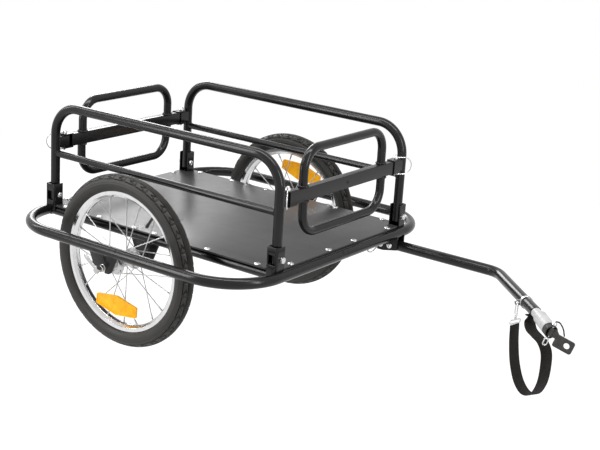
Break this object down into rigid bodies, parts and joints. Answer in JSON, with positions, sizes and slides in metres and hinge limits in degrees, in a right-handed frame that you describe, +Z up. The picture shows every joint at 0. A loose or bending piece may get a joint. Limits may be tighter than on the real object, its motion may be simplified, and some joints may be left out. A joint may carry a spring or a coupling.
{
  "type": "cargo bike trailer",
  "caption": "Two-wheeled bicycle cargo trailer: flat deck in a tube hoop, folding side rails, lift-off end gates and a cranked side towbar with a pinned hitch.",
  "frame": {"origin": "middle of the top face of the deck", "axes": "+X forward towards the bicycle, +Y left, +Z up"},
  "size_m": [1.2891, 0.8016, 0.5113],
  "materials": {
    "black_paint": "satin black powder coat",
    "deck": "dark grey faced board",
    "zinc": "bright zinc plate",
    "alloy": "polished alloy",
    "tyre": "matt black tread rubber",
    "bush_rubber": "black rubber",
    "reflector": "clear amber",
    "webbing": "woven nylon",
    "dark_steel": "dark phosphate"
  },
  "bodies": {
    "frame": {"hoop_half_left": "black_paint", "hoop_half_right": "black_paint", "hoop_splice_front": "zinc", "hoop_splice_rear": "zinc", "side_tube_left": "black_paint", "side_tube_right": "black_paint", "deck_cross_tube": "black_paint", "deck_panel": "deck", "corner_bracket_front_left": "black_paint", "corner_bracket_front_right": "black_paint", "corner_bracket_rear_left": "black_paint", "corner_bracket_rear_right": "black_paint", "pivot_bolt_front_left": "zinc", "pivot_bolt_front_right": "zinc", "pivot_bolt_rear_left": "zinc", "pivot_bolt_rear_right": "zinc", "axle_plate_outer_left": "black_paint", "axle_plate_outer_right": "black_paint", "axle_plate_inner_left": "black_paint", "axle_plate_inner_right": "black_paint", "axle_left": "zinc", "axle_right": "zinc", "towbar_bracket": "black_paint", "towbar_pivot_bolt": "zinc"},
    "wheel_left": {"tyre_left": "tyre", "rim_left": "alloy", "hub_and_spokes_left": "alloy", "wheel_reflector_left": "reflector"},
    "wheel_right": {"tyre_right": "tyre", "rim_right": "alloy", "hub_and_spokes_right": "alloy", "wheel_reflector_right": "reflector"},
    "quick_release_left": {"quick_release_left": "alloy"},
    "quick_release_right": {"quick_release_right": "alloy"},
    "rail_right": {"side_rail_right": "black_paint", "rail_mid_bar_right": "black_paint"},
    "rail_left": {"side_rail_left": "black_paint", "rail_mid_bar_left": "black_paint"},
    "gate_front": {"front_gate_crossbar": "black_paint", "front_gate_upper_loop": "black_paint", "front_gate_lower_loop": "black_paint", "ring_pin_front_left": "zinc", "ring_pin_front_right": "zinc"},
    "gate_rear": {"rear_gate_crossbar": "black_paint", "rear_gate_upper_loop": "black_paint", "rear_gate_lower_loop": "black_paint", "ring_pin_rear_left": "zinc", "ring_pin_rear_right": "zinc"},
    "towbar": {"towbar_tube": "black_paint", "strap_clamp": "zinc", "snap_hook": "zinc", "safety_strap": "webbing"},
    "lock_pin": {"towbar_lock_pin": "zinc"},
    "hitch": {"hitch_sleeve": "alloy", "hitch_bush": "bush_rubber", "hitch_pin": "zinc"},
    "tongue": {"hitch_tongue": "dark_steel", "pin_tether": "webbing"}
  },
  "joints": [
    {"name": "left_wheel_spin", "type": "hinge", "parent": "frame", "child": "wheel_left", "pos_m": [-0.037, 0.3075, -0.0588], "axis": [0, 1, 0], "continuous": true},
    {"name": "right_wheel_spin", "type": "hinge", "parent": "frame", "child": "wheel_right", "pos_m": [-0.037, -0.3075, -0.0588], "axis": [0, 1, 0], "continuous": true},
    {"name": "left_quick_release", "type": "hinge", "parent": "frame", "child": "quick_release_left", "pos_m": [-0.037, 0.3936, -0.0588], "axis": [-0.6428, 0, -0.766], "range_deg": [0, 180]},
    {"name": "right_quick_release", "type": "hinge", "parent": "frame", "child": "quick_release_right", "pos_m": [-0.037, -0.3936, -0.0588], "axis": [0.6428, 0, 0.766], "range_deg": [0, 180]},
    {"name": "right_rail_fold", "type": "hinge", "parent": "frame", "child": "rail_right", "pos_m": [0.334, -0.2376, 0.0217], "axis": [-1, 0, 0], "range_deg": [0, 80]},
    {"name": "left_rail_fold", "type": "hinge", "parent": "frame", "child": "rail_left", "pos_m": [0.334, 0.2376, 0.0217], "axis": [1, 0, 0], "range_deg": [0, 80]},
    {"name": "front_gate_lift_off", "type": "slide", "parent": "frame", "child": "gate_front", "axis": [1, 0, 0], "range_m": [0, 0.3]},
    {"name": "rear_gate_lift_off", "type": "slide", "parent": "frame", "child": "gate_rear", "axis": [-1, 0, 0], "range_m": [0, 0.3]},
    {"name": "towbar_fold", "type": "hinge", "parent": "frame", "child": "towbar", "pos_m": [0.341, 0.2195, -0.0451], "axis": [0, 1, 0], "range_deg": [0, 38]},
    {"name": "lock_pin_pull", "type": "slide", "parent": "frame", "child": "lock_pin", "axis": [0, -1, 0], "range_m": [0, 0.45]},
    {"name": "hitch_swivel", "type": "hinge", "parent": "towbar", "child": "hitch", "pos_m": [0.8107, 0.04328, -0.0451], "axis": [0.7254, -0.6884, 0], "continuous": true},
    {"name": "tongue_pivot", "type": "hinge", "parent": "hitch", "child": "tongue", "pos_m": [0.87672, -0.01937, -0.05158], "axis": [-0.2839, -0.1794, -0.9419], "range_deg": [0, 76]}
  ],
  "couplings": [
    {"joint": "left_rail_fold", "follows": "right_rail_fold", "ratio": 1},
    {"joint": "front_gate_lift_off", "follows": "right_rail_fold", "m_per_rad": 0.21479},
    {"joint": "rear_gate_lift_off", "follows": "right_rail_fold", "m_per_rad": 0.21479},
    {"joint": "lock_pin_pull", "follows": "towbar_fold", "m_per_rad": 0.67775}
  ]
}
